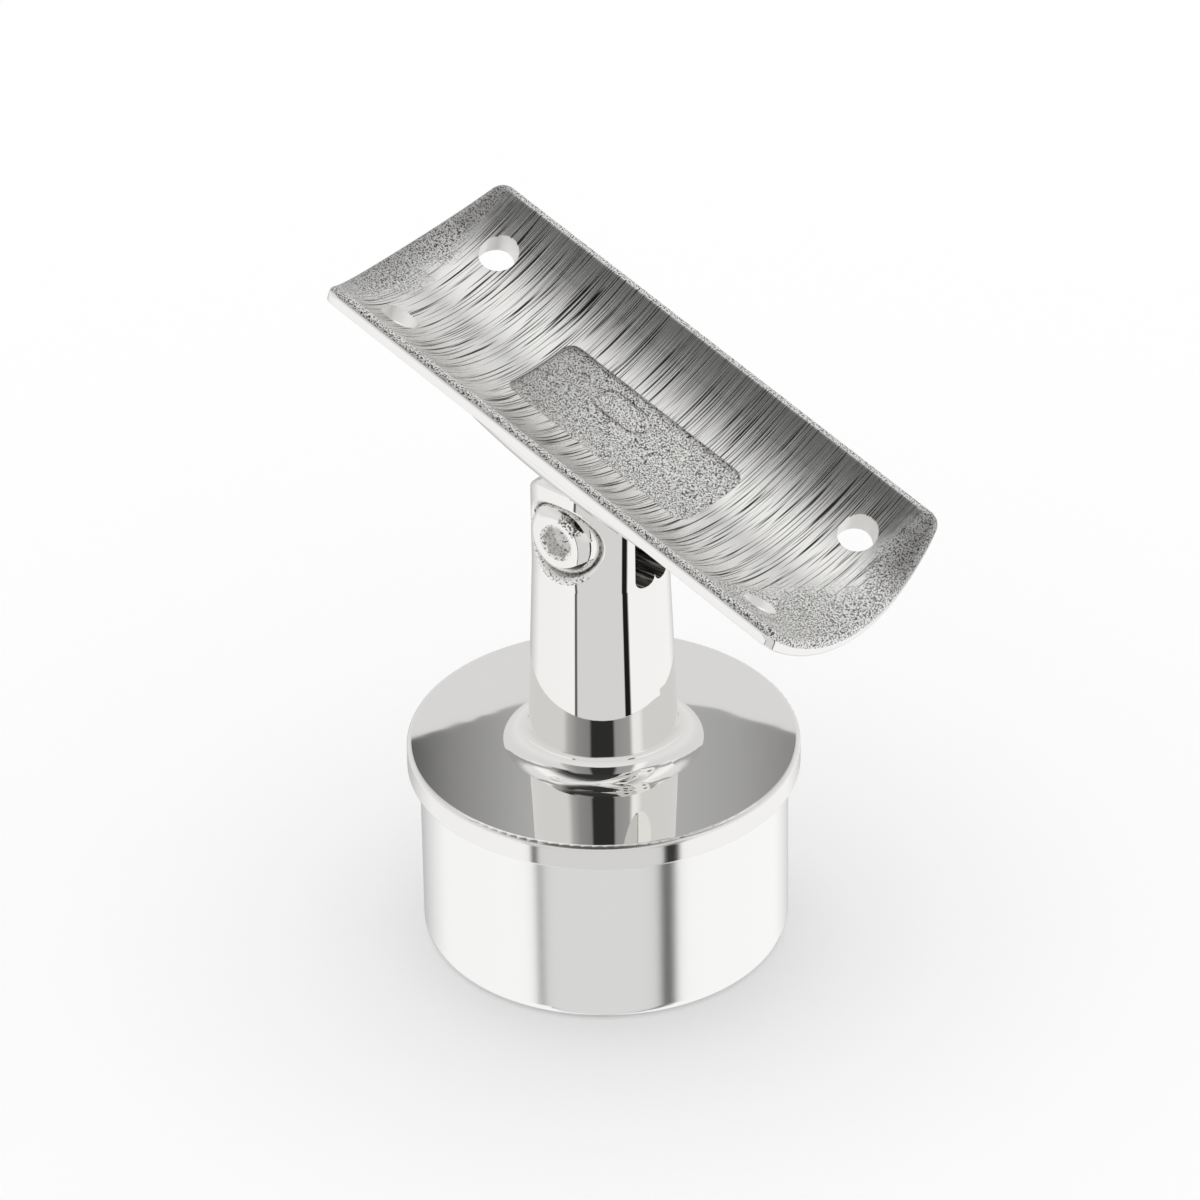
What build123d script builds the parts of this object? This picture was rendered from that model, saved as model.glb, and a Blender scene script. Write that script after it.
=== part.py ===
"""Handrail post top saddle: a round post cap with a slotted stem, and a
handrail saddle that tilts in the slot and is clamped by one socket screw.

Units are millimetres. The origin is the centre of the flange's underside,
which seats on the end of the post tube. +Z is up, +X is the saddle's
length seen from above, towards its low end, and +Y is the pivot's axis,
away from the screw's head.
"""

from build123d import *
import math
import os

# Post tube and handrail tube
post_diameter = 50.8
post_wall = 1.5
rail_diameter = 50.8

# Cap: flange and hollow plug
plug_gap = 0.1
plug_depth = 24.5
plug_wall = 3.2
plug_edge_round = 1.6
plug_inner_round = 2.5
flange_thickness = 3.5
flange_top_round = 0.6
flange_low_round = 0.25

# Stem and its two ears
stem_base_radius = 9.75
stem_radius = 8.75
stem_taper_gap = 1.0
stem_foot_round = 3.3
pivot_height = 37.3
ear_rise = 7.9
ear_edge_round = 0.8
slot_width = 6.4
slot_depth = 6.9
slot_floor_round = 1.3

# Pivot screw: button head with hexagon socket
screw_radius = 3.0
screw_length = 14.0
screw_end_chamfer = 0.7
head_radius = 5.05
head_height = 3.0
head_rim = 0.45
head_flat_radius = 2.9
head_bulge_out = 0.56
head_bulge_up = 0.46
socket_across_flats = 4.0
socket_depth = 2.1
socket_mouth_chamfer = 0.3
socket_tip_radius = 0.2
socket_tip_depth = 1.0
head_seat_depth = 2.8
counterbore_gap = 0.15
counterbore_edge_round = 0.6
near_ear_gap = 0.2
tapped_hole_gap = 0.04

# Saddle: tongue
tongue_gap = 0.2
tongue_end_gap = 0.3
tongue_bore_gap = 0.06
tongue_top_width = 19.0
underside_gap = 0.8

# Saddle: trough plate
saddle_tilt = 19.6
saddle_shift = -0.6
saddle_length = 79.8
saddle_wrap = 87.1
end_arch = 3.0
corner_round = 2.0
plate_thickness = 2.3
trough_rise = 13.5
keel_half_length = 42.0
rim_round = 0.9
lower_rim_round = 0.4
keel_side_gap = 2.0
rail_hole_diameter = 5.0
rail_hole_spacing_x = 60.6
rail_hole_spacing_y = 19.8

# Saddle: cast pocket in the trough, with a blank raised pad
pocket_length = 29.6
pocket_width = 13.4
pocket_corner_round = 1.8
pocket_depth = 0.4
pad_length = 8.4
pad_width = 4.4
pad_height = 0.25
pad_rim = 0.5
pad_offset_x = -3.0
pad_offset_y = 3.6

# Sizes that follow from the ones above
plug_radius = post_diameter / 2 - post_wall - plug_gap
flange_radius = post_diameter / 2
rail_radius = rail_diameter / 2
head_seat_y = -(stem_radius - head_seat_depth)
counterbore_radius = head_radius + counterbore_gap
counterbore_reach = counterbore_radius + counterbore_edge_round
stem_taper_top = pivot_height - counterbore_reach - stem_taper_gap
tongue_thickness = slot_width - 2 * tongue_gap
tongue_radius = slot_depth - slot_floor_round - tongue_end_gap
trough_axis_rise = trough_rise + rail_radius
saddle_width = rail_diameter * math.sin(math.radians(saddle_wrap / 2))
keel_bottom_rise = ear_rise + underside_gap

# Straight cuts run this far past the metal they cut
overrun = 20.0


def along_y(radius, y_from, y_to, height=0.0):
    """Round bar along Y between two places, its axis at a height."""
    start = Plane((0, y_from, height), x_dir=(1, 0, 0), z_dir=(0, 1, 0))
    return extrude(start * Circle(radius), y_to - y_from)


def along_x(radius, length, y, height):
    """Round bar along X, centred on X = 0."""
    bar = Cylinder(radius, length, rotation=(0, 90, 0))
    return Pos(0, y, height) * bar


def rounded_corner(face, x, y, radius):
    """Round the one corner of a flat face that lies at x, y."""
    corner = face.vertices().sort_by_distance((x, y))[0]
    return fillet(corner, radius)


def cap_blank():
    """Flange, hollow plug and tapered stem, turned about Z in one piece."""
    stem_top = pivot_height + ear_rise
    hollow_radius = plug_radius - plug_wall
    section = make_face(Polyline(
        (0, 0),
        (hollow_radius, 0),
        (hollow_radius, -plug_depth),
        (plug_radius, -plug_depth),
        (plug_radius, 0),
        (flange_radius, 0),
        (flange_radius, flange_thickness),
        (stem_base_radius, flange_thickness),
        (stem_radius, stem_taper_top),
        (stem_radius, stem_top),
        (0, stem_top),
        close=True,
    ))
    for x, y, radius in (
        (hollow_radius, 0, plug_inner_round),
        (plug_radius, -plug_depth, plug_edge_round),
        (flange_radius, 0, flange_low_round),
        (flange_radius, flange_thickness, flange_top_round),
        (stem_base_radius, flange_thickness, stem_foot_round),
    ):
        section = rounded_corner(section, x, y, radius)
    return revolve(Plane.XZ * section, Axis.Z, 360)


def ear_crown():
    """What is cut off above the ears: all outside a round crown along Y."""
    crown_centre = pivot_height + ear_rise - stem_radius
    block = Pos(0, 0, crown_centre + overrun / 2) * Box(
        2 * stem_base_radius, 2 * stem_base_radius, overrun
    )
    return block - along_y(stem_radius, -overrun, overrun, crown_centre)


def tongue_slot():
    """Slot milled in two passes, which leave a low ridge along its floor."""
    floor = pivot_height - slot_depth
    height = ear_rise + slot_depth + 2
    pass_width = slot_width / 2
    passes = []
    for y in (-pass_width / 2, pass_width / 2):
        section = Pos(y, floor + height / 2) * Rectangle(pass_width, height)
        for edge_y in (y - pass_width / 2, y + pass_width / 2):
            section = rounded_corner(section, edge_y, floor, slot_floor_round)
        passes.append(section)
    reach = stem_base_radius + 1
    start = Plane((-reach, 0, 0), x_dir=(0, 1, 0), z_dir=(1, 0, 0))
    return extrude(start * (passes[0] + passes[1]), 2 * reach)


def base_cap():
    """Cap casting: flange, plug and forked stem with the screw's holes."""
    body = cap_blank() - ear_crown() - tongue_slot()
    crown_edges = [
        edge for edge in body.edges()
        if edge.center().Z > pivot_height + 1
        and abs(edge.center().Y) > slot_width / 2 + 0.1
        and edge.length > stem_radius
    ]
    body = fillet(crown_edges, ear_edge_round)
    clear_radius = screw_radius + near_ear_gap
    tapped_radius = screw_radius + tapped_hole_gap
    body -= along_y(clear_radius, -overrun, 0, pivot_height)
    body -= along_y(counterbore_radius, -overrun, head_seat_y, pivot_height)
    body -= along_y(tapped_radius, 0, overrun, pivot_height)
    mouth = [
        edge for edge in body.edges()
        if edge.center().Y < head_seat_y - 0.3
        and abs(edge.center().Z - pivot_height) < head_radius
        and edge.length > 2 * math.pi * head_radius
    ]
    return fillet(mouth, counterbore_edge_round)


def pivot_screw():
    """Button head socket screw, head towards -Y."""
    flat = head_height
    rim_bulge = ((head_radius + head_flat_radius) / 2 + head_bulge_out,
                 (head_rim + head_height) / 2 + head_bulge_up)
    head = make_face([
        Line((0, 0), (head_radius, 0)),
        Line((head_radius, 0), (head_radius, head_rim)),
        ThreePointArc((head_radius, head_rim), rim_bulge, (head_flat_radius, flat)),
        Line((head_flat_radius, flat), (0, flat)),
        Line((0, flat), (0, 0)),
    ])
    head = rounded_corner(head, head_radius, 0, head_rim / 2)
    dome = revolve(Plane.XZ * head, Axis.Z, 360)
    circumradius = socket_across_flats / math.sqrt(3)
    hexagon = RegularPolygon(circumradius, 6)
    socket = extrude(Plane((0, 0, flat - socket_depth)) * hexagon, socket_depth)
    drill_point = Pos(0, 0, flat - socket_depth - socket_tip_depth / 2) * Cone(
        socket_tip_radius, socket_across_flats / 2, socket_tip_depth
    )
    mouth_radius = circumradius + socket_mouth_chamfer / 2
    mouth = Pos(0, 0, flat - socket_mouth_chamfer / 2) * Cone(
        mouth_radius - 2 * socket_mouth_chamfer, mouth_radius, socket_mouth_chamfer
    )
    shank = Pos(0, 0, -screw_length / 2) * Cylinder(screw_radius, screw_length)
    end = shank.edges().sort_by(Axis.Z)[0]
    shank = chamfer(end, screw_end_chamfer)
    screw = dome + shank - socket - drill_point - mouth
    return Pos(0, head_seat_y, pivot_height) * Rot(90, 0, 0) * screw


def saddle_outline():
    """Plan of the saddle: arched ends, straight long sides, round corners."""
    half_edge = saddle_length / 2 - end_arch
    half_width = saddle_width / 2
    ends = [
        ThreePointArc(
            (side * half_edge, -half_width),
            (side * saddle_length / 2, 0),
            (side * half_edge, half_width),
        )
        for side in (-1, 1)
    ]
    sides = [
        Line((-half_edge, side * half_width), (half_edge, side * half_width))
        for side in (-1, 1)
    ]
    outline = make_face(ends + sides)
    return fillet(outline.vertices(), corner_round)


def is_on_trough(edge):
    """Whether an edge lies on the seat's round face, at its rim."""
    offsets = (
        math.hypot(point.Y, point.Z - trough_axis_rise) - rail_radius
        for point in (edge @ 0.0, edge @ 0.5, edge @ 1.0)
    )
    return all(abs(offset) < 0.01 for offset in offsets)


def trough_plate():
    """Plate bent to the rail, with a keel that thickens it under the middle."""
    prism = extrude(saddle_outline(), trough_axis_rise)
    outer_radius = rail_radius + plate_thickness
    plate = prism & along_x(outer_radius, 2 * saddle_length, 0, trough_axis_rise)
    lower_rim = [
        edge for edge in plate.edges() if edge.center().Z < trough_axis_rise - 1
    ]
    plate = fillet(lower_rim, lower_rim_round)
    half = saddle_width / 2 - keel_side_gap
    keel_top = trough_axis_rise - math.sqrt(outer_radius ** 2 - half ** 2)
    keel = Pos(0, 0, keel_top) * scale(
        Sphere(1), by=(keel_half_length, half, keel_top - keel_bottom_rise)
    )
    plate += keel & prism
    plate -= along_x(rail_radius, 2 * saddle_length, 0, trough_axis_rise)
    upper_rim = [
        edge for edge in plate.edges()
        if is_on_trough(edge)
    ]
    return fillet(upper_rim, rim_round)


def tongue():
    """Plate in the stem's slot: round about the pivot, wide at the top."""
    knuckle = Circle(tongue_radius)
    root_rise = keel_bottom_rise + plate_thickness / 2
    flank = make_hull((
        knuckle + Pos(0, root_rise) * Rectangle(tongue_top_width, 0.5)
    ).edges())
    plane = Plane((0, tongue_thickness / 2, 0), x_dir=(1, 0, 0), z_dir=(0, -1, 0))
    return extrude(plane * flank, tongue_thickness)


def rail_holes():
    """Four screw holes that go straight through the plate."""
    hole = Cylinder(rail_hole_diameter / 2, 2 * overrun)
    grid = GridLocations(rail_hole_spacing_x, rail_hole_spacing_y, 2, 2)
    return [place * Pos(0, 0, trough_rise) * hole for place in grid]


def pocket():
    """Shallow cast recess in the trough, less its blank raised pad."""
    area = RectangleRounded(pocket_length, pocket_width, pocket_corner_round)
    prism = extrude(area, trough_axis_rise)
    recess = prism & along_x(
        rail_radius + pocket_depth, pocket_length, 0, trough_axis_rise
    )
    pad_area = SlotOverall(pad_length, pad_width)
    inner = SlotOverall(pad_length - 2 * pad_rim, pad_width - 2 * pad_rim)
    pad = Pos(pad_offset_x, pad_offset_y) * extrude(pad_area - inner, trough_axis_rise)
    pad -= along_x(
        rail_radius + pocket_depth - pad_height, pocket_length, 0, trough_axis_rise
    )
    return recess - pad


def saddle():
    """Saddle casting, level, with the pivot's axis through the origin."""
    plate = trough_plate() - rail_holes() - pocket()
    body = Pos(saddle_shift, 0, 0) * plate + tongue()
    body -= along_y(screw_radius + tongue_bore_gap, -overrun, overrun)
    return body


def placed_saddle():
    """Saddle turned to its clamped tilt, +X end down."""
    return Pos(0, 0, pivot_height) * Rot(0, saddle_tilt, 0) * saddle()


os.makedirs("parts", exist_ok=True)
for name, shape in (
    ("base_cap", base_cap()),
    ("saddle", placed_saddle()),
    ("pivot_screw", pivot_screw()),
):
    export_step(shape, f"parts/{name}.step")
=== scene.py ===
"""Finish and studio for a handrail post cap with a tilting trough saddle."""

from functools import partial
import math

import bmesh
import bpy
from mathutils import Matrix, Vector


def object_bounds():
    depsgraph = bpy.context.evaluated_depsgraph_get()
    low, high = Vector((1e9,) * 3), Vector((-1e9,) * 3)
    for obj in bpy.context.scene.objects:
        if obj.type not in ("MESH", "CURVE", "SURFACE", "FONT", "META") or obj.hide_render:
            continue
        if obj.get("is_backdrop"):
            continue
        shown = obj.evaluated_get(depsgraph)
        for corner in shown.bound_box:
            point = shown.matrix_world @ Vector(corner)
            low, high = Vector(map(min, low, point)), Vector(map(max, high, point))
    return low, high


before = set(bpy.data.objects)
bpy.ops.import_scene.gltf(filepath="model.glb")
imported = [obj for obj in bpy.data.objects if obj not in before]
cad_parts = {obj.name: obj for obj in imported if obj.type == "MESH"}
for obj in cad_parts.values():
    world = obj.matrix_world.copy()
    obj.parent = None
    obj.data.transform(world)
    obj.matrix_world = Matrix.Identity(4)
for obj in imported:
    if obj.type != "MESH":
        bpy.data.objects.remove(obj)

bl_info = {
    "name": "Handrail post top saddle",
    "version": (1, 0, 0),
    "blender": (4, 5, 0),
    "location": "3D View > Sidebar > Saddle",
    "description": "Steel finishes and studio for a handrail post top saddle",
    "category": "Object",
}

MM = 0.001
SENSOR = 36.0
IMAGE_PX = 1200.0

# Cap: flange, slotted stem, and the screw's seat in the near ear.
FLANGE_RADIUS = 25.4 * MM
FLANGE_THICKNESS = 3.5 * MM
STEM_RADIUS = 8.75 * MM
SLOT_HALF_WIDTH = 3.2 * MM
SLOT_LOW = 29.0 * MM
SEAT_RADIUS = 5.2 * MM
SEAT_FRONT = -5.2 * MM

# The saddle's own place: the pivot's height, its clamped tilt, the height of
# the trough's axis above the pivot and its middle's shift along the slope.
PIVOT_HEIGHT = 37.3 * MM
SADDLE_TILT = math.radians(19.6)
TROUGH_AXIS = 38.9 * MM
TROUGH_RADIUS = 25.4 * MM
SADDLE_SHIFT = -0.6 * MM

# Trough: rail screw holes, cast pocket, where its rounded rims start, and
# the depth below its round face that still belongs to the top.
HOLE_RADIUS = 2.5 * MM
HOLE_ALONG = 30.3 * MM
HOLE_ACROSS = 9.9 * MM
POCKET_HALF_LENGTH = 14.8 * MM
POCKET_HALF_WIDTH = 6.7 * MM
RIM_ACROSS = 15.0 * MM
TOP_DEPTH = 0.9 * MM

# Where the trough's finish and its painted darkening change, as (outside, inside) of each stretch:
# distances from its middle, places along the slope, and places across.
END_SKIN = (36.5 * MM, 40.0 * MM)
CORNER_SKIN = (34.0 * MM, 38.0 * MM)
CORNER_SKIN_SIDE = (5.0 * MM, -2.0 * MM)
# The last four mark where the skin is painted darker: in the pocket this is painted shade.
FAR_CORNER = (33.0 * MM, 37.0 * MM)
FAR_CORNER_SIDE = (5.0 * MM, 11.0 * MM)
DARKER_HIGH_END = (-33.0 * MM, -41.0 * MM)
SHADED_POCKET = (0.0, -16.0 * MM)

# Screw: the socket, and where the dome is scuffed.
SOCKET_RADIUS = 2.45 * MM
SCUFF_RADII = (2.95 * MM, 4.5 * MM)
SCUFF_ANGLES = (math.radians(28), math.radians(76))

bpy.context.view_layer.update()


def linear(hex_colour):
    """sRGB hex colour as linear RGBA."""
    channels = []
    for i in (0, 2, 4):
        c = int(hex_colour[i:i + 2], 16) / 255
        channels.append(c / 12.92 if c <= 0.04045 else ((c + 0.055) / 1.055) ** 2.4)
    return (*channels, 1.0)


def set_stops(ramp, stops):
    """Grey levels of a colour ramp, from (place, level) pairs."""
    while len(ramp.elements) < len(stops):
        ramp.elements.new(0.5)
    for element, (place, level) in zip(ramp.elements, stops):
        element.position = place
        element.color = (level, level, level, 1.0)


def add_node(tree, kind, inputs=None, stops=(), **settings):
    """Add a node with its settings and links, and a colour ramp's stops.

    An input is a value, another node's output, or a node, which stands for
    its first output.
    """
    node = tree.nodes.new(kind)
    for name, value in settings.items():
        setattr(node, name, value)
    for name, value in (inputs or {}).items():
        if isinstance(value, bpy.types.Node):
            value = value.outputs[0]
        if isinstance(value, bpy.types.NodeSocket):
            tree.links.new(value, node.inputs[name])
        else:
            node.inputs[name].default_value = value
    if stops:
        set_stops(node.color_ramp, stops)
    return node


def distance(tree, a, b):
    """Length of the flat vector that a and b make."""
    add = partial(add_node, tree, "ShaderNodeMath")
    squares = [add({0: side, 1: side}, operation="MULTIPLY") for side in (a, b)]
    total = add({0: squares[0], 1: squares[1]}, operation="ADD")
    return add({0: total}, operation="SQRT")


def region(tree, *limits, within=1.0):
    """Mask of where every limit holds, inside a wider mask.

    A limit is (value, outside, inside): the mask fades smoothly from 0 where
    the value is at its outside to 1 at its inside.
    """
    for value, outside, inside in limits:
        edge = add_node(
            tree, "ShaderNodeMapRange",
            {"Value": value, "From Min": outside, "From Max": inside},
            interpolation_type="SMOOTHSTEP",
        )
        within = add_node(tree, "ShaderNodeMath", {0: within, 1: edge},
                          operation="MULTIPLY")
    return within


def either(tree, *masks):
    """Largest of several masks."""
    largest = masks[0]
    for mask in masks[1:]:
        largest = add_node(tree, "ShaderNodeMath", {0: largest, 1: mask},
                           operation="MAXIMUM")
    return largest


def coats(tree, kind, base, *layers):
    """A FLOAT or RGBA base with each (mask, value) of the layers laid over it."""
    first, result = {"FLOAT": (2, 0), "RGBA": (6, 2)}[kind]
    for mask, value in layers:
        mix = add_node(tree, "ShaderNodeMix", {0: mask, first: base, first + 1: value},
                       data_type=kind)
        base = mix.outputs[result]
    return base


def grain(tree, place, sizes, detail=2.0, roughness=0.5):
    """Random pattern over a place, with its grain's size along each axis."""
    parts = [add_node(tree, "ShaderNodeMath", {0: value, 1: size}, operation="DIVIDE")
             for value, size in zip(place, sizes)]
    scaled = add_node(tree, "ShaderNodeCombineXYZ", dict(enumerate(parts)))
    return add_node(
        tree, "ShaderNodeTexNoise",
        {"Vector": scaled, "Scale": 1.0, "Detail": detail, "Roughness": roughness},
        noise_dimensions="3D",
    )


def new_material(name):
    """Empty material and its node tree."""
    material = bpy.data.materials.new(name)
    material.use_nodes = True
    material.node_tree.nodes.clear()
    return material, material.node_tree


def metal(tree, colour, roughness, metallic, height, depth):
    """Steel shader with its bump, wired to the output."""
    bump = add_node(tree, "ShaderNodeBump", {"Height": height, "Distance": depth})
    shader = add_node(tree, "ShaderNodeBsdfPrincipled", {
        "Base Color": colour,
        "Metallic": metallic,
        "Roughness": roughness,
        "Normal": bump.outputs[0],
    })
    add_node(tree, "ShaderNodeOutputMaterial", {"Surface": shader.outputs[0]})


def put_on(node_name, material):
    """Give a CAD node one material."""
    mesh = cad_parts[node_name].data
    mesh.materials.clear()
    mesh.materials.append(material)


class StudioSettings(bpy.types.PropertyGroup):
    """Camera and surroundings."""

    azimuth: bpy.props.FloatProperty(
        name="Azimuth", description="Camera's turn about the post, 0 looks along +Y",
        default=math.radians(38.98), subtype="ANGLE")
    elevation: bpy.props.FloatProperty(
        name="Elevation", description="Camera's height above the horizon",
        default=math.radians(33.77), subtype="ANGLE")
    roll: bpy.props.FloatProperty(
        name="Roll", description="How far the picture leans, right side up",
        default=math.radians(0.907), subtype="ANGLE")
    distance: bpy.props.FloatProperty(
        name="Distance", description="Camera's distance from the flange",
        default=0.9166, unit="LENGTH", subtype="DISTANCE")
    scale_px: bpy.props.FloatProperty(
        name="Scale", description="Picture's pixels per metre at the flange",
        default=7740.0)
    flange_px: bpy.props.FloatVectorProperty(
        name="Flange in the picture", description="Pixel of the flange's centre",
        default=(603.9, 758.8), size=2)
    floor_size: bpy.props.FloatProperty(
        name="Floor", description="Width of the floor",
        default=6.0, unit="LENGTH", subtype="DISTANCE")
    floor_colour: bpy.props.FloatVectorProperty(
        name="Floor colour", description="Colour of the pale floor",
        default=linear("FFFFFF"), size=4, subtype="COLOR", min=0, max=1)


class FinishSettings(bpy.types.PropertyGroup):
    """Steel colours and grain sizes."""

    polished: bpy.props.FloatVectorProperty(
        name="Polished steel", description="Colour of the mirror polish",
        default=linear("F4F3F1"), size=4, subtype="COLOR", min=0, max=1)
    satin: bpy.props.FloatVectorProperty(
        name="Satin steel", description="Colour of the turned plug",
        default=linear("FBFBFA"), size=4, subtype="COLOR", min=0, max=1)
    # Dark grey of dull steel, also used as painted shade in the slot and on the saddle's skin.
    milled_and_shade: bpy.props.FloatVectorProperty(
        name="Milled slot and painted shade", description="Colour of the slot's unpolished walls and of painted shade",
        default=linear("55544F"), size=4, subtype="COLOR", min=0, max=1)
    scratch: bpy.props.FloatVectorProperty(
        name="Scratch", description="Colour in the deeper brush lines",
        default=linear("3A3936"), size=4, subtype="COLOR", min=0, max=1)
    cast: bpy.props.FloatVectorProperty(
        name="Cast skin", description="Colour of the blasted cast skin",
        default=linear("F4F3F1"), size=4, subtype="COLOR", min=0, max=1)
    cast_pit: bpy.props.FloatVectorProperty(
        name="Cast pits", description="Colour in the cast skin's pits",
        default=linear("2E2D2B"), size=4, subtype="COLOR", min=0, max=1)
    brush_pitch: bpy.props.FloatProperty(
        name="Brush lines", description="Spacing of the brush lines",
        default=0.18 * MM, unit="LENGTH", subtype="DISTANCE")
    brush_length: bpy.props.FloatProperty(
        name="Brush stroke", description="Length of one brush line",
        default=20.0 * MM, unit="LENGTH", subtype="DISTANCE")
    grain: bpy.props.FloatProperty(
        name="Cast grain", description="Size of one grain of the cast skin",
        default=0.20 * MM, unit="LENGTH", subtype="DISTANCE")


def finish_cap(settings):
    """Cap: mirror polish, satin plug, dull slot with painted shade, and screw seat."""
    material, tree = new_material("Stainless steel casting, polished and turned")
    add = partial(add_node, tree)
    place = add("ShaderNodeSeparateXYZ", {0: add("ShaderNodeTexCoord").outputs["Object"]}).outputs
    x, y, z = place
    polished, satin = tuple(settings.polished), tuple(settings.satin)
    milled_and_shade, cast = tuple(settings.milled_and_shade), tuple(settings.cast)
    around = distance(tree, x, y)
    across = add("ShaderNodeMath", {0: y}, operation="ABSOLUTE")
    # Buffed to a mirror: the stem and the flange show the studio's grey panels
    # with sharp edges, and only faint waves from the buffing wheel.
    waves = grain(tree, place, (6 * MM,) * 3, detail=1.0)
    # Turned plug: fine rings of the lathe tool give a satin sheen.
    plug = region(tree, (z, -0.1 * MM, -0.3 * MM))
    rings = grain(tree, place, (1.6 * MM, 1.6 * MM, 0.2 * MM))
    rings = add("ShaderNodeMath", {0: rings, 1: 4.0}, operation="MULTIPLY")
    # Slot walls are left from milling and never polished, so they stay dull. Their dark grey colour
    # is painted shade in the narrow slot.
    slot = region(
        tree,
        (across, SLOT_HALF_WIDTH + 0.04 * MM, SLOT_HALF_WIDTH + 0.01 * MM),
        (z, SLOT_LOW, SLOT_LOW + 0.5 * MM),
        (around, STEM_RADIUS - 0.02 * MM, STEM_RADIUS - 0.05 * MM),
    )
    streaks = grain(tree, place, (9 * MM, 0.5 * MM, 0.35 * MM))
    # The flange's rim is turned and only lightly buffed, its top edge least.
    rim = region(tree, (around, FLANGE_RADIUS - 0.10 * MM, FLANGE_RADIUS - 0.02 * MM))
    edge = region(
        tree,
        (around, FLANGE_RADIUS - 0.62 * MM, FLANGE_RADIUS - 0.50 * MM),
        (z, FLANGE_THICKNESS - 0.8 * MM, FLANGE_THICKNESS - 0.6 * MM),
    )
    # The screw's seat is left from milling: a dull grey ring under the head. Below the head the
    # hand polish missed the seat's rounded edge too.
    rise = add("ShaderNodeMath", {0: z, 1: PIVOT_HEIGHT}, operation="SUBTRACT")
    radial = distance(tree, x, rise)
    lean = add("ShaderNodeMath", {0: x, 1: 0.5}, operation="MULTIPLY")
    lean = add("ShaderNodeMath", {0: rise, 1: lean}, operation="ADD")
    front = (y, SEAT_FRONT, SEAT_FRONT - 0.2 * MM)
    ring = region(tree, (radial, SEAT_RADIUS + 0.3 * MM, SEAT_RADIUS + 0.1 * MM), front)
    missed = region(
        tree,
        (radial, SEAT_RADIUS + 0.95 * MM, SEAT_RADIUS + 0.75 * MM),
        (lean, -1.6 * MM, -2.6 * MM),
        front,
    )
    seat = either(tree, ring, missed)
    grains = grain(tree, place, (0.3 * MM,) * 3, detail=3.0)

    # Painted shade: dark grey over the slot's walls, streaked with lighter cast grey.
    slot_painted_shade = coats(tree, "RGBA", milled_and_shade, (region(tree, (streaks, 0.52, 0.68)), cast))
    seat_steel = coats(tree, "RGBA", milled_and_shade, (region(tree, (grains, 0.30, 0.52)), cast))
    dull = either(tree, slot, seat)
    metal(
        tree,
        coats(tree, "RGBA", polished, (plug, satin), (slot, slot_painted_shade), (seat, seat_steel)),
        roughness=coats(tree, "FLOAT", 0.01, (rim, 0.11), (edge, 0.24), (plug, 0.18), (dull, 0.45)),
        # The dull seat scatters light, the polish doesn't.
        metallic=coats(tree, "FLOAT", 1.0, (seat, 0.45)),
        height=coats(tree, "FLOAT", waves, (plug, rings), (dull, grains)),
        depth=0.0012 * MM,
    )
    put_on("base_cap", material)


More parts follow.
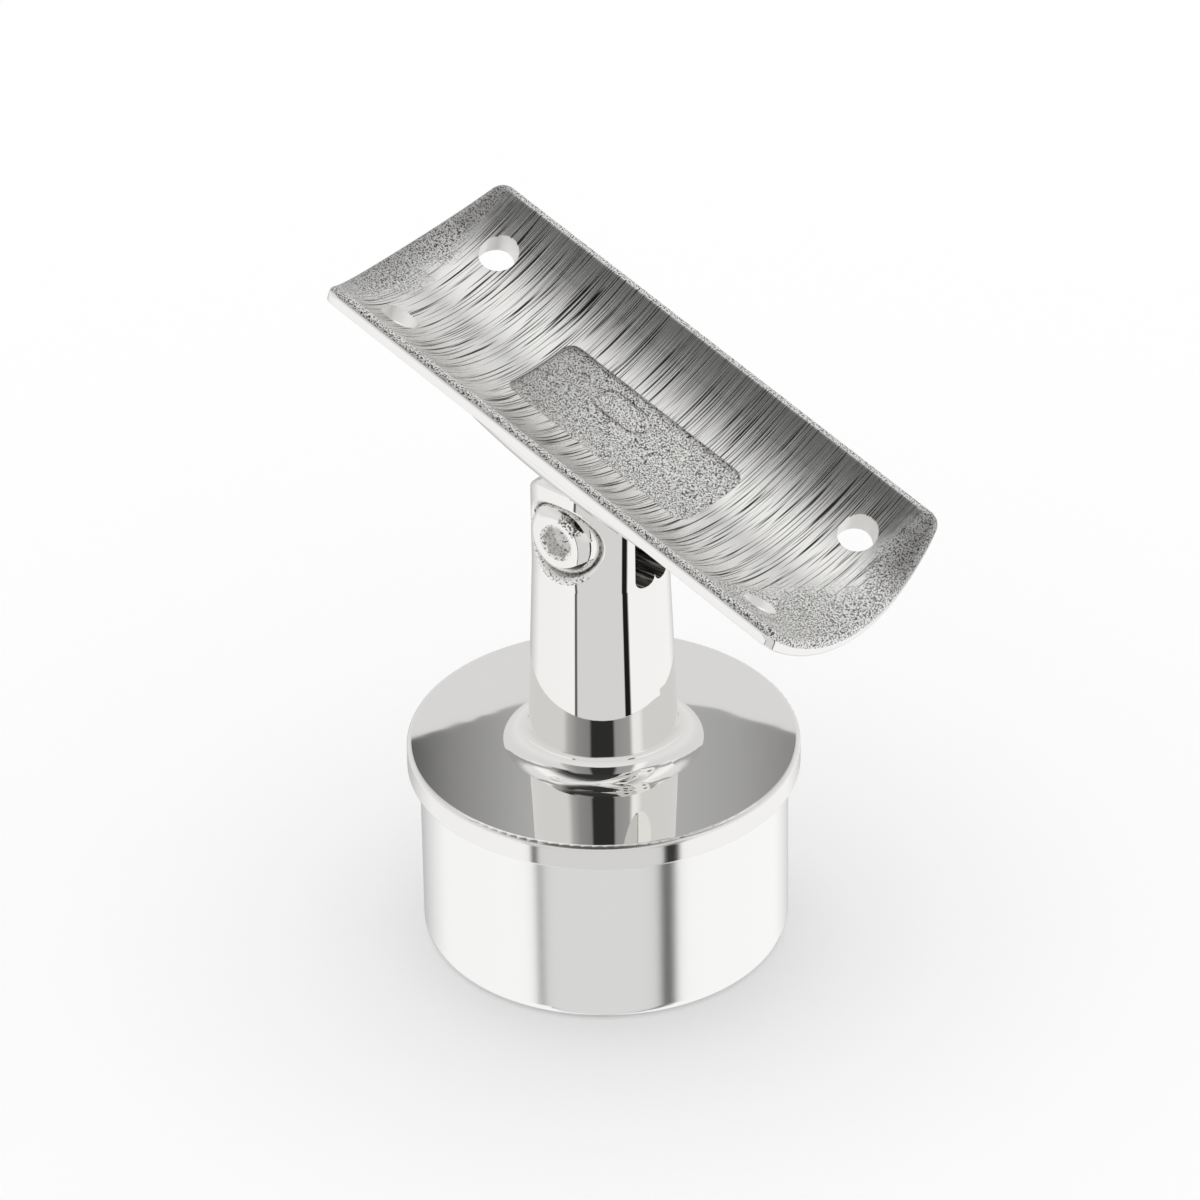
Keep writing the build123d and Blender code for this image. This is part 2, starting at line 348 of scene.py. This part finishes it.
def finish_saddle(settings):
    """Saddle: trough brushed across, cast skin in the pocket, polished sides."""
    material, tree = new_material("Stainless steel casting, brushed trough")
    add = partial(add_node, tree)
    polished, scratch = tuple(settings.polished), tuple(settings.scratch)
    milled_and_shade, cast = tuple(settings.milled_and_shade), tuple(settings.cast)
    cast_pit = tuple(settings.cast_pit)
    level = add(
        "ShaderNodeMapping",
        {"Vector": add("ShaderNodeTexCoord").outputs["Object"],
         "Location": (0, 0, PIVOT_HEIGHT), "Rotation": (0, SADDLE_TILT, 0)},
        vector_type="TEXTURE",
    )
    place = add("ShaderNodeSeparateXYZ", {0: level}).outputs
    x, y, z = place
    # Round the trough's axis: depth from it, and the way along its round face.
    drop = add("ShaderNodeMath", {0: TROUGH_AXIS, 1: z}, operation="SUBTRACT")
    depth = distance(tree, y, drop)
    arc = add("ShaderNodeMath", {0: y, 1: drop}, operation="ARCTAN2")
    arc = add("ShaderNodeMath", {0: arc, 1: TROUGH_RADIUS}, operation="MULTIPLY")
    # Distance from the trough's middle, along the slope and across it.
    ends = add("ShaderNodeMath", {0: x, 1: SADDLE_SHIFT}, operation="SUBTRACT")
    ends = add("ShaderNodeMath", {0: ends}, operation="ABSOLUTE")
    across = add("ShaderNodeMath", {0: y}, operation="ABSOLUTE")
    top = (depth, TROUGH_RADIUS + TOP_DEPTH + 0.1 * MM, TROUGH_RADIUS + TOP_DEPTH)
    brushed = region(tree, (depth, TROUGH_RADIUS + 0.2 * MM, TROUGH_RADIUS + 0.05 * MM))
    in_pocket = region(
        tree,
        (depth, TROUGH_RADIUS + 0.02 * MM, TROUGH_RADIUS + 0.08 * MM),
        (ends, POCKET_HALF_LENGTH + 0.5 * MM, POCKET_HALF_LENGTH + 0.4 * MM),
        (across, POCKET_HALF_WIDTH + 0.4 * MM, POCKET_HALF_WIDTH + 0.3 * MM),
        top,
    )
    # The brush never reached the ends, where the blasted skin shows. At the
    # low end the skin reaches further in along the near side.
    patchy = grain(tree, place, (4 * MM,) * 3)
    ragged = add("ShaderNodeMath", {0: patchy, 1: 7 * MM}, operation="MULTIPLY")
    ragged = add("ShaderNodeMath", {0: ends, 1: ragged}, operation="ADD")
    end_skin = region(tree, (ragged, *END_SKIN), top)
    aslant = add("ShaderNodeMath", {0: y, 1: -0.5}, operation="MULTIPLY")
    patches = add("ShaderNodeMath", {0: patchy, 1: 8 * MM}, operation="MULTIPLY")
    aslant = add("ShaderNodeMath", {0: aslant, 1: patches}, operation="ADD")
    aslant = add("ShaderNodeMath", {0: x, 1: aslant}, operation="ADD")
    corner_skin = region(tree, (aslant, *CORNER_SKIN), (y, *CORNER_SKIN_SIDE), top)
    # The rounded rims were blasted with the ends.
    rim = region(
        tree,
        (depth, TROUGH_RADIUS + 0.04 * MM, TROUGH_RADIUS + 0.12 * MM),
        (depth, TROUGH_RADIUS + 0.95 * MM, TROUGH_RADIUS + 0.85 * MM),
        (across, RIM_ACROSS, RIM_ACROSS + 0.2 * MM),
    )
    skin = either(tree, in_pocket, end_skin, corner_skin, rim)
    # Painted shade: the pocket's skin is painted darker towards its high end. The skin is also
    # painted darker at the trough's high end and in the far corners.
    shaded_pocket = region(tree, (x, *SHADED_POCKET), within=in_pocket)
    shaded_pocket = add("ShaderNodeMath", {0: shaded_pocket, 1: 0.6}, operation="MULTIPLY")
    darker_high_end = region(tree, (x, *DARKER_HIGH_END))
    far_corner = region(tree, (ends, *FAR_CORNER), (y, *FAR_CORNER_SIDE))
    darker_and_shaded = region(tree, top, within=either(tree, darker_high_end, far_corner, shaded_pocket))
    half_darker_and_shaded = add("ShaderNodeMath", {0: darker_and_shaded, 1: 0.5}, operation="MULTIPLY")
    # The drilled holes' walls are plain satin.
    hole_side = add("ShaderNodeMath", {0: across, 1: HOLE_ACROSS}, operation="SUBTRACT")
    hole_along = add("ShaderNodeMath", {0: ends, 1: HOLE_ALONG}, operation="SUBTRACT")
    from_hole = distance(tree, hole_side, hole_along)
    holes = region(tree, (from_hole, HOLE_RADIUS + 0.03 * MM, HOLE_RADIUS))
    dull = either(tree, skin, holes)

    # Belt-brushed across: fine dark strokes on grey. A real belt's lines lie
    # about 0.05 mm apart, and are drawn coarser here so that they show.
    pitch, stroke = settings.brush_pitch, settings.brush_length
    lines = grain(tree, (x, arc, z), (pitch, stroke, 1.0), detail=0.0)
    fine = grain(tree, (x, arc, z), (pitch * 0.7, stroke * 0.4, 1.0), detail=0.0)
    lines = add("ShaderNodeMath", {0: lines, 1: 0.55}, operation="MULTIPLY")
    fine = add("ShaderNodeMath", {0: fine, 1: 0.45}, operation="MULTIPLY")
    strokes = add("ShaderNodeMath", {0: lines, 1: fine}, operation="ADD")
    brush = coats(tree, "RGBA", scratch, (region(tree, (strokes, 0.365, 0.455)), polished))
    # Blasted cast skin: light grey with small dark pits.
    grains = grain(tree, place, (settings.grain,) * 3, roughness=0.6)
    pitted = coats(tree, "RGBA", cast_pit, (region(tree, (grains, 0.42, 0.51)), cast))

    brushed_top = region(tree, top, within=brushed)
    # The darkest colour layer is the skin painted darker, in the pocket as painted shade.
    metal(
        tree,
        coats(tree, "RGBA", polished, (brushed_top, brush), (skin, pitted), (half_darker_and_shaded, milled_and_shade)),
        roughness=coats(tree, "FLOAT", 0.05, (brushed, 0.27), (dull, 0.45)),
        metallic=coats(tree, "FLOAT", 1.0, (dull, 0.7)),
        height=coats(tree, "FLOAT", 0.5, (brushed, strokes), (skin, grains)),
        depth=0.038 * MM,
    )
    put_on("saddle", material)


def finish_screw(settings):
    """Screw: polished dome with a scuffed patch, dull socket."""
    material, tree = new_material("Stainless steel screw, polished head")
    add = partial(add_node, tree)
    place = add("ShaderNodeSeparateXYZ", {0: add("ShaderNodeTexCoord").outputs["Object"]}).outputs
    x, y, z = place
    polished, milled_and_shade, cast = tuple(settings.polished), tuple(settings.milled_and_shade), tuple(settings.cast)
    rise = add("ShaderNodeMath", {0: z, 1: PIVOT_HEIGHT}, operation="SUBTRACT")
    radial = distance(tree, x, rise)
    grains = grain(tree, place, (0.3 * MM,) * 3, detail=3.0)
    # The dome is buffed bright and the pressed socket stays dull. One patch
    # of the dome is scuffed, up to the right of the socket.
    socket = region(
        tree,
        (radial, SOCKET_RADIUS + 0.15 * MM, SOCKET_RADIUS),
        (y, 0.5 * MM, -0.5 * MM),
    )
    angle = add("ShaderNodeMath", {0: rise, 1: x}, operation="ARCTAN2")
    scuff = region(
        tree,
        (angle, SCUFF_ANGLES[0], SCUFF_ANGLES[0] + math.radians(8)),
        (angle, SCUFF_ANGLES[1] + math.radians(10), SCUFF_ANGLES[1]),
        (radial, SCUFF_RADII[0], SCUFF_RADII[0] + 0.2 * MM),
        (radial, SCUFF_RADII[1] + 0.2 * MM, SCUFF_RADII[1]),
        (grains, 0.44, 0.60),
    )
    inside = coats(tree, "RGBA", milled_and_shade, (region(tree, (grains, 0.30, 0.50)), cast))
    metal(
        tree,
        coats(tree, "RGBA", polished, (socket, inside), (scuff, milled_and_shade)),
        roughness=coats(tree, "FLOAT", 0.06, (socket, 0.35)),
        metallic=coats(tree, "FLOAT", 1.0, (socket, 0.4)),
        height=coats(tree, "FLOAT", 0.5, (socket, grains)),
        depth=0.02 * MM,
    )
    put_on("pivot_screw", material)


def studio_world(settings):
    """White surroundings with the grey panels that polished steel mirrors."""
    world = bpy.data.worlds.new("Studio")
    bpy.context.scene.world = world
    world.use_nodes = True
    tree = world.node_tree
    tree.nodes.clear()
    add = partial(add_node, tree)
    turned = add(
        "ShaderNodeVectorRotate",
        {"Vector": add("ShaderNodeTexCoord").outputs["Generated"],
         "Angle": math.pi / 2 - settings.azimuth},
        rotation_type="Z_AXIS",
    )
    front, right, up = add("ShaderNodeSeparateXYZ", {0: turned}).outputs
    bearing = add("ShaderNodeMath", {0: right, 1: front}, operation="ARCTAN2")
    bearing = add("ShaderNodeMath", {0: bearing, 1: 2 * math.pi}, operation="DIVIDE")
    bearing = add("ShaderNodeMath", {0: bearing, 1: 0.5}, operation="ADD")
    # Overhead the light fades from behind the object towards the camera.
    forward = add("ShaderNodeMath", {0: front, 1: 0.5}, operation="MULTIPLY")
    forward = add("ShaderNodeMath", {0: forward, 1: 0.5}, operation="ADD")
    overhead = add("ShaderNodeValToRGB", {0: forward}, stops=OVERHEAD_RAMP)
    above = add("ShaderNodeValToRGB", {0: up}, stops=HIGH_RAMP)
    # A grey panel hangs behind: its lower edge rises a little to both sides.
    sideways = add("ShaderNodeMath", {0: right}, operation="ABSOLUTE")
    sideways = add("ShaderNodeMath", {0: sideways, 1: -PANEL_RISE}, operation="MULTIPLY")
    level = add("ShaderNodeMath", {0: up, 1: sideways}, operation="ADD")
    panel = region(
        tree,
        (level, PANEL_EDGE - 0.0001, PANEL_EDGE + 0.0001),
        (level, *PANEL_TOP),
        (front, 0.3, 0.0),
    )
    across = add("ShaderNodeMath", {0: right, 1: PANEL_STRETCH}, operation="MULTIPLY")
    across = add("ShaderNodeMath", {0: across, 1: 0.5}, operation="ADD", use_clamp=True)
    panel_grey = add("ShaderNodeValToRGB", {0: across}, stops=PANEL_RAMP)
    # A dark gap between the lights, above and behind the camera.
    gap = region(tree, (front, 0.35, 0.5), (up, 0.30, 0.36), (up, 0.80, 0.74))
    gap_grey = add("ShaderNodeValToRGB", {0: bearing}, stops=GAP_RING)
    below = region(tree, (up, -0.02, -0.16))
    below_grey = add("ShaderNodeValToRGB", {0: bearing}, stops=LOW_RING)
    picture = coats(
        tree, "RGBA", above,
        (region(tree, (up, 0.62, 0.72)), overhead),
        (panel, panel_grey),
        (gap, gap_grey),
        (below, below_grey),
    )
    # Only steel mirrors these greys: all else is lit by plain white.
    mirrored = add("ShaderNodeLightPath").outputs["Is Glossy Ray"]
    colour = coats(tree, "RGBA", (1.0, 1.0, 1.0, 1.0), (mirrored, picture))
    background = add("ShaderNodeBackground", {"Color": colour, "Strength": 1.0})
    add("ShaderNodeOutputWorld", {"Surface": background})


def bearing_stop(degrees, level):
    """Ramp stop for a bearing from the camera's side, in degrees."""
    return (degrees / 360 + 0.5, level)


# Levels seen by steel in surroundings below the horizon, by bearing.
LOW_RING = (
    bearing_stop(-179, 0.46), bearing_stop(-155, 0.60), bearing_stop(-122, 0.95),
    bearing_stop(-44.5, 0.98), bearing_stop(-43.5, 0.06), bearing_stop(-41.0, 0.06),
    bearing_stop(-40.0, 0.71), bearing_stop(34, 0.71), bearing_stop(35, 0.012),
    bearing_stop(43, 0.012), bearing_stop(45, 0.98), bearing_stop(135, 0.98),
    bearing_stop(160, 0.72), bearing_stop(179, 0.50),
)
# Levels high up in front, by bearing: white, grey and a dark middle.
GAP_RING = (
    bearing_stop(-75, 0.95), bearing_stop(-62, 0.55), bearing_stop(-40, 0.30),
    bearing_stop(-22, 0.25), bearing_stop(-18, 0.03), bearing_stop(14, 0.03),
    bearing_stop(18, 0.32), bearing_stop(40, 0.38), bearing_stop(46, 0.97),
)
# Levels above the horizon, by the sine of the height.
HIGH_RAMP = ((0.0, 0.78), (0.25, 0.82), (0.45, 0.76), (0.53, 0.74), (1.0, 0.80))
# Levels overhead, from behind the object to the camera's side.
OVERHEAD_RAMP = (
    (0.10, 0.75), (0.24, 0.80), (0.32, 1.0), (0.42, 0.92), (0.49, 0.50),
    (0.56, 0.14), (0.65, 0.04), (1.0, 0.03),
)
# The grey panel: sine of the height of its lower edge, how far that rises to
# the sides, where its top fades, how it spreads across, and its levels.
PANEL_EDGE = 0.5466
PANEL_RISE = 0.235
PANEL_TOP = (0.66, 0.58)
PANEL_STRETCH = 8.0
PANEL_RAMP = (
    (0.0, 0.36), (0.22, 0.08), (0.275, 0.10), (0.33, 0.26), (0.42, 0.44),
    (0.55, 0.47), (0.65, 0.38), (0.72, 0.26), (0.80, 0.22), (1.0, 0.40),
)


def studio_camera(settings):
    """Camera aimed so that the flange's centre falls on its own pixel."""
    a, e, r = settings.azimuth, settings.elevation, settings.roll
    right = Vector((math.cos(a), math.sin(a), 0))
    back = Vector((math.sin(a) * math.cos(e), -math.cos(a) * math.cos(e), math.sin(e)))
    up = back.cross(right)
    right, up = (right * math.cos(r) - up * math.sin(r),
                 right * math.sin(r) + up * math.cos(r))
    middle = IMAGE_PX / 2
    aim = (right * ((middle - settings.flange_px[0]) / settings.scale_px)
           + up * ((settings.flange_px[1] - middle) / settings.scale_px))
    place = back * settings.distance
    back = (place - aim).normalized()
    right = up.cross(back).normalized()
    up = back.cross(right)
    camera = bpy.data.objects.new("camera", bpy.data.cameras.new("camera"))
    bpy.context.scene.collection.objects.link(camera)
    facing = Matrix((right, up, back)).transposed().to_4x4()
    camera.matrix_world = Matrix.Translation(place) @ facing
    camera.data.sensor_width = SENSOR
    camera.data.lens = SENSOR * settings.distance * settings.scale_px / IMAGE_PX
    camera.data.clip_start = 0.01
    camera.data.clip_end = 50
    bpy.context.scene.camera = camera


def studio_floor(settings):
    """Pale floor under the plug, which keeps the shadow."""
    mesh = bpy.data.meshes.new("floor")
    shape = bmesh.new()
    bmesh.ops.create_grid(shape, x_segments=1, y_segments=1, size=settings.floor_size / 2)
    bmesh.ops.translate(shape, vec=(0, 0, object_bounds()[0][2]), verts=shape.verts)
    shape.to_mesh(mesh)
    shape.free()
    floor = bpy.data.objects.new("floor", mesh)
    bpy.context.scene.collection.objects.link(floor)
    floor.visible_glossy = False
    material, tree = new_material("Matt white studio floor")
    shader = add_node(tree, "ShaderNodeBsdfDiffuse", {"Color": tuple(settings.floor_colour)})
    add_node(tree, "ShaderNodeOutputMaterial", {"Surface": shader.outputs[0]})
    mesh.materials.append(material)
    floor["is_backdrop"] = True


class SADDLE_OT_finish_cap(bpy.types.Operator):
    """Give the cap its polish, satin plug and dull slot with painted shade"""

    bl_idname = "saddle.finish_cap"
    bl_label = "Finish cap"

    def execute(self, context):
        finish_cap(context.scene.saddle_finish)
        return {"FINISHED"}


class SADDLE_OT_finish_saddle(bpy.types.Operator):
    """Give the saddle its brushed trough and cast skin"""

    bl_idname = "saddle.finish_saddle"
    bl_label = "Finish saddle"

    def execute(self, context):
        finish_saddle(context.scene.saddle_finish)
        return {"FINISHED"}


class SADDLE_OT_finish_screw(bpy.types.Operator):
    """Give the pivot screw its polished head and dull socket"""

    bl_idname = "saddle.finish_screw"
    bl_label = "Finish screw"

    def execute(self, context):
        finish_screw(context.scene.saddle_finish)
        return {"FINISHED"}


class SADDLE_OT_studio(bpy.types.Operator):
    """Set up the camera, the surroundings and the floor"""

    bl_idname = "saddle.studio"
    bl_label = "Studio"

    def execute(self, context):
        settings = context.scene.saddle_studio
        context.scene.view_settings.view_transform = "Standard"
        studio_camera(settings)
        studio_world(settings)
        studio_floor(settings)
        return {"FINISHED"}


class SADDLE_PT_panel(bpy.types.Panel):
    """Settings and steps of the saddle's finish"""

    bl_idname = "SADDLE_PT_panel"
    bl_label = "Handrail saddle"
    bl_space_type = "VIEW_3D"
    bl_region_type = "UI"
    bl_category = "Saddle"

    def draw(self, context):
        for group in (context.scene.saddle_finish, context.scene.saddle_studio):
            for name in group.__annotations__:
                self.layout.prop(group, name)
        for step in STEPS:
            self.layout.operator(step.bl_idname)


STEPS = (SADDLE_OT_finish_cap, SADDLE_OT_finish_saddle, SADDLE_OT_finish_screw,
         SADDLE_OT_studio)
CLASSES = (StudioSettings, FinishSettings, *STEPS, SADDLE_PT_panel)


def register():
    for cls in CLASSES:
        bpy.utils.register_class(cls)
    bpy.types.Scene.saddle_studio = bpy.props.PointerProperty(type=StudioSettings)
    bpy.types.Scene.saddle_finish = bpy.props.PointerProperty(type=FinishSettings)


def unregister():
    del bpy.types.Scene.saddle_finish
    del bpy.types.Scene.saddle_studio
    for cls in reversed(CLASSES):
        bpy.utils.unregister_class(cls)


def main():
    register()
    bpy.ops.saddle.finish_cap()
    bpy.ops.saddle.finish_saddle()
    bpy.ops.saddle.finish_screw()
    bpy.ops.saddle.studio()


if __name__ == "__main__":
    main()
